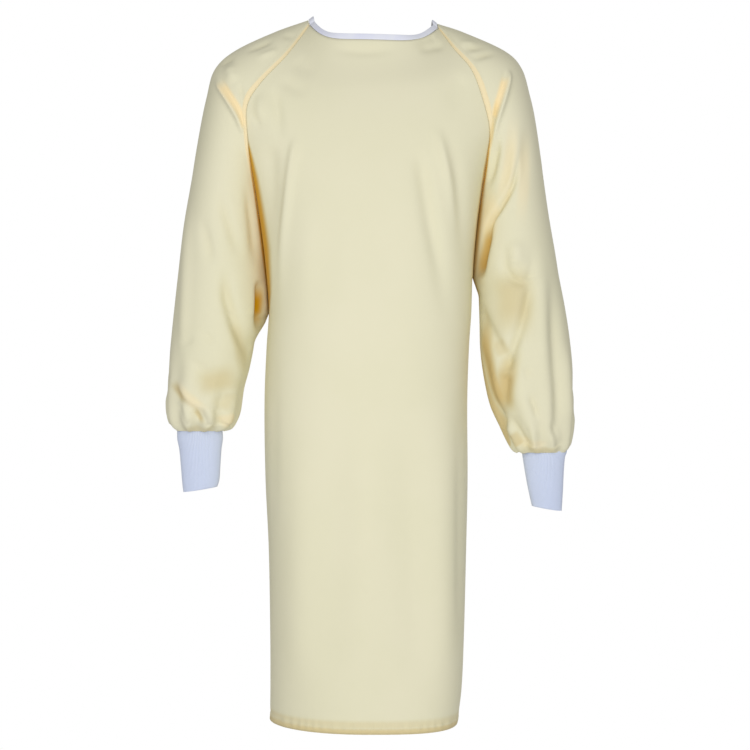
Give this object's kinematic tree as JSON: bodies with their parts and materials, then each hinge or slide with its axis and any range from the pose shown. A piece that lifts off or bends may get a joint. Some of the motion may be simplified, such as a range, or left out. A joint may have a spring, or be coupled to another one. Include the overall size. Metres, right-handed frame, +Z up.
{
  "type": "isolation gown",
  "caption": "Long-sleeved isolation gown, hollow as worn, with raglan sleeves, knitted wrist cuffs, a bound neck and a lapped back closed by two pairs of ties",
  "frame": {"origin": "the middle of the neck opening, level with the high points of the shoulders, where the wearer holds the gown up", "axes": "+Z up from the hem to the neck, +X to the right as seen from the front, the front faces -Y"},
  "size_m": [0.6899, 0.2718, 1.1864],
  "materials": {
    "front_cloth": "light plain-woven cotton blend, matte with a faint sheen",
    "back_left_cloth": "light plain-woven cotton blend, matte with a faint sheen",
    "back_right_cloth": "light plain-woven cotton blend, matte with a faint sheen",
    "sleeve_left_cloth": "light plain-woven cotton blend, matte with a faint sheen",
    "sleeve_right_cloth": "light plain-woven cotton blend, matte with a faint sheen",
    "cuff_left_knit": "soft matte rib knit",
    "cuff_right_knit": "soft matte rib knit",
    "neck_binding_tape": "smooth woven tape, matte",
    "neck_tie_left_cloth": "light plain-woven cotton blend, matte with a faint sheen",
    "neck_tie_right_cloth": "light plain-woven cotton blend, matte with a faint sheen",
    "waist_tie_left_cloth": "light plain-woven cotton blend, matte with a faint sheen",
    "waist_tie_right_cloth": "light plain-woven cotton blend, matte with a faint sheen"
  },
  "bodies": {
    "root": {"front": "front_cloth", "back_left": "back_left_cloth", "back_right": "back_right_cloth", "sleeve_left": "sleeve_left_cloth", "sleeve_right": "sleeve_right_cloth", "cuff_left": "cuff_left_knit", "cuff_right": "cuff_right_knit", "neck_binding": "neck_binding_tape", "neck_tie_left": "neck_tie_left_cloth", "neck_tie_right": "neck_tie_right_cloth", "waist_tie_left": "waist_tie_left_cloth", "waist_tie_right": "waist_tie_right_cloth"}
  },
  "joints": []
}
